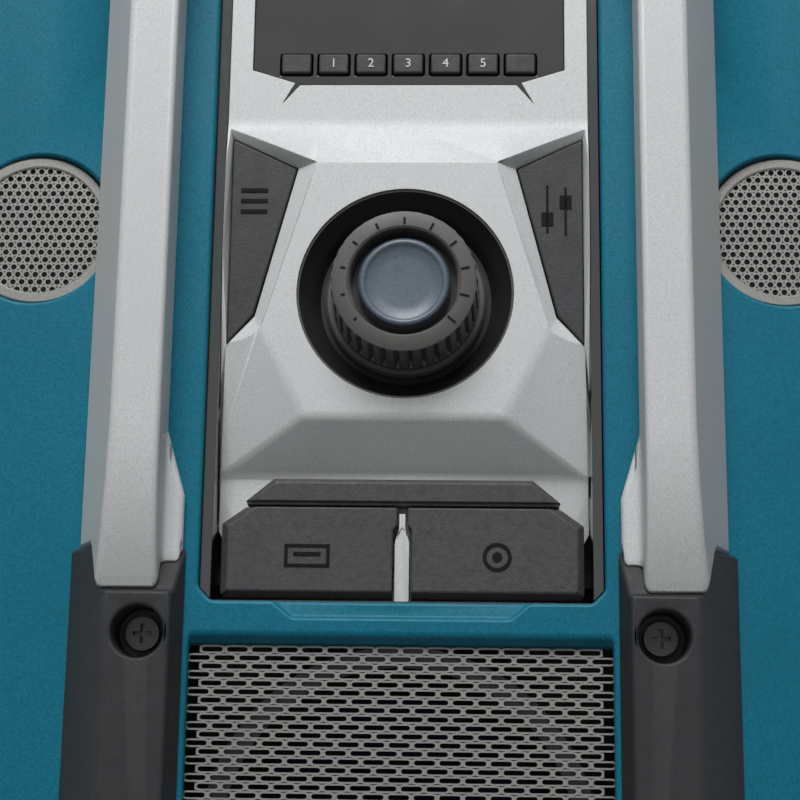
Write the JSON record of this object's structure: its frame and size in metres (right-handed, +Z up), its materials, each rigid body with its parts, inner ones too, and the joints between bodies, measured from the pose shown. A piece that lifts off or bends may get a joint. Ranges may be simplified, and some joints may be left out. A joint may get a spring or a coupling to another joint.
{
  "type": "jobsite radio",
  "caption": "Rugged leaning jobsite radio with roll-bar pillars, big tuning knob, covered sockets, woofer grille, folding handle and rear battery bay.",
  "frame": {"origin": "centre of the footprint at floor level, under the middle of the bounding box", "axes": "+Z up, -Y to the front with the control panel, +X to the viewer's right"},
  "size_m": [0.2668, 0.17, 0.2936],
  "materials": {
    "teal_plastic": "fine grain",
    "silver_paint": "fine metallic grain",
    "dark_grey_plastic": "fine grain",
    "black_plastic": "matt",
    "gloss_black": "gloss",
    "smoked_lens": "gloss",
    "lcd": "satin",
    "circuit_board": "satin",
    "bright_steel": "satin",
    "knob_rubber": "soft touch",
    "blue_grey_cap": "fine grain",
    "cover_rubber": "coarse grain",
    "grille_steel": "satin",
    "basket_steel": "satin",
    "cone_fabric": "matt",
    "seal_rubber": "matt",
    "boot_rubber": "fine grain",
    "black_steel": "satin",
    "key_plastic": "coarse grain"
  },
  "bodies": {
    "radio": {"front_housing": "teal_plastic", "rear_housing": "dark_grey_plastic", "housing_seal": "seal_rubber", "fascia": "silver_paint", "fascia_surround": "gloss_black", "display_lens": "smoked_lens", "lcd_module": "lcd", "knob_dish": "black_plastic", "control_board": "circuit_board", "main_board": "circuit_board", "key_switches": "black_plastic", "encoder_body": "bright_steel", "port_cover_strip": "cover_rubber", "usb_socket": "bright_steel", "aux_jack": "black_plastic", "woofer_grille": "grille_steel", "woofer_frame": "basket_steel", "woofer_magnet": "basket_steel", "woofer_cone": "cone_fabric", "woofer_surround": "seal_rubber", "side_grilles": "grille_steel", "side_speakers": "basket_steel", "pillar_left": "silver_paint", "pillar_right": "silver_paint", "lower_boot_left": "boot_rubber", "lower_boot_right": "boot_rubber", "upper_boot_left": "boot_rubber", "upper_boot_right": "boot_rubber", "rear_guards": "boot_rubber", "boot_screws": "black_steel", "case_screws": "black_steel", "handle_pins": "bright_steel", "battery_bay": "dark_grey_plastic", "battery_terminal": "black_plastic", "battery_door_pin": "bright_steel", "rubber_feet": "boot_rubber", "dc_socket": "black_plastic"},
    "plunger": {"encoder_plunger": "bright_steel"},
    "knob": {"encoder_shaft": "bright_steel", "tuning_knob": "knob_rubber", "knob_cap": "blue_grey_cap"},
    "usb_flap": {"usb_cover": "cover_rubber"},
    "aux_flap": {"aux_cover": "cover_rubber"},
    "handle": {"handle_arm_left": "black_plastic", "handle_arm_right": "black_plastic", "handle_core": "bright_steel", "handle_grip": "boot_rubber"},
    "door": {"battery_door": "dark_grey_plastic"},
    "latch": {"door_latch": "black_plastic"},
    "aerial": {"aerial": "boot_rubber"},
    "dc_flap": {"dc_cover": "cover_rubber"},
    "info_key": {"info_button": "key_plastic"},
    "tone_key": {"tone_button": "key_plastic"},
    "power_key": {"power_button": "key_plastic"},
    "preset_key_1": {"preset_button_1": "key_plastic"},
    "preset_key_2": {"preset_button_2": "key_plastic"},
    "preset_key_3": {"preset_button_3": "key_plastic"},
    "preset_key_4": {"preset_button_4": "key_plastic"},
    "preset_key_5": {"preset_button_5": "key_plastic"},
    "source_key": {"source_button": "key_plastic"}
  },
  "joints": [
    {"name": "knob_push", "type": "slide", "parent": "radio", "child": "plunger", "axis": [0, 0.9659, -0.2588], "range_m": [0, 0.0008], "stiffness_N_per_m": 3000, "springref_m": -0.0004},
    {"name": "knob_turn", "type": "hinge", "parent": "plunger", "child": "knob", "pos_m": [0, -0.02449, 0.194], "axis": [0, -0.9659, 0.2588], "continuous": true},
    {"name": "usb_flap_hinge", "type": "hinge", "parent": "radio", "child": "usb_flap", "pos_m": [-0.023, -0.03497, 0.14174], "axis": [-1, 0, 0], "range_deg": [0, 115], "stiffness_Nm_per_rad": 0.012},
    {"name": "aux_flap_hinge", "type": "hinge", "parent": "radio", "child": "aux_flap", "pos_m": [0.023, -0.03497, 0.14174], "axis": [-1, 0, 0], "range_deg": [0, 115], "stiffness_Nm_per_rad": 0.012},
    {"name": "handle_fold", "type": "hinge", "parent": "radio", "child": "handle", "pos_m": [0, 0.026, 0.26601], "axis": [1, 0, 0], "range_deg": [0, 90]},
    {"name": "door_hinge", "type": "hinge", "parent": "radio", "child": "door", "pos_m": [0, 0.0623, 0.012], "axis": [-1, 0, 0], "range_deg": [0, 90]},
    {"name": "latch_tilt", "type": "hinge", "parent": "door", "child": "latch", "pos_m": [0, 0.06, 0.144], "axis": [-1, 0, 0], "range_deg": [0, 20], "stiffness_Nm_per_rad": 0.05, "springref_deg": -5.73},
    {"name": "aerial_swing", "type": "hinge", "parent": "radio", "child": "aerial", "pos_m": [0.128, 0.01, 0.20501], "axis": [-1, 0, 0], "range_deg": [0, 180]},
    {"name": "dc_flap_hinge", "type": "hinge", "parent": "radio", "child": "dc_flap", "pos_m": [0.094, 0.0596, 0.058], "axis": [1, 0, 0], "range_deg": [0, 100], "stiffness_Nm_per_rad": 0.004},
    {"name": "info_press", "type": "slide", "parent": "radio", "child": "info_key", "axis": [0, 0.9659, -0.2588], "range_m": [0, 0.0008], "stiffness_N_per_m": 1200, "springref_m": -0.0004},
    {"name": "tone_press", "type": "slide", "parent": "radio", "child": "tone_key", "axis": [0, 0.9659, -0.2588], "range_m": [0, 0.0008], "stiffness_N_per_m": 1200, "springref_m": -0.0004},
    {"name": "power_press", "type": "slide", "parent": "radio", "child": "power_key", "axis": [0, 0.9659, -0.2588], "range_m": [0, 0.0008], "stiffness_N_per_m": 800, "springref_m": -0.0004},
    {"name": "preset_1_press", "type": "slide", "parent": "radio", "child": "preset_key_1", "axis": [0, 0.9659, -0.2588], "range_m": [0, 0.0008], "stiffness_N_per_m": 800, "springref_m": -0.0004},
    {"name": "preset_2_press", "type": "slide", "parent": "radio", "child": "preset_key_2", "axis": [0, 0.9659, -0.2588], "range_m": [0, 0.0008], "stiffness_N_per_m": 800, "springref_m": -0.0004},
    {"name": "preset_3_press", "type": "slide", "parent": "radio", "child": "preset_key_3", "axis": [0, 0.9659, -0.2588], "range_m": [0, 0.0008], "stiffness_N_per_m": 800, "springref_m": -0.0004},
    {"name": "preset_4_press", "type": "slide", "parent": "radio", "child": "preset_key_4", "axis": [0, 0.9659, -0.2588], "range_m": [0, 0.0008], "stiffness_N_per_m": 800, "springref_m": -0.0004},
    {"name": "preset_5_press", "type": "slide", "parent": "radio", "child": "preset_key_5", "axis": [0, 0.9659, -0.2588], "range_m": [0, 0.0008], "stiffness_N_per_m": 800, "springref_m": -0.0004},
    {"name": "source_press", "type": "slide", "parent": "radio", "child": "source_key", "axis": [0, 0.9659, -0.2588], "range_m": [0, 0.0008], "stiffness_N_per_m": 800, "springref_m": -0.0004}
  ]
}
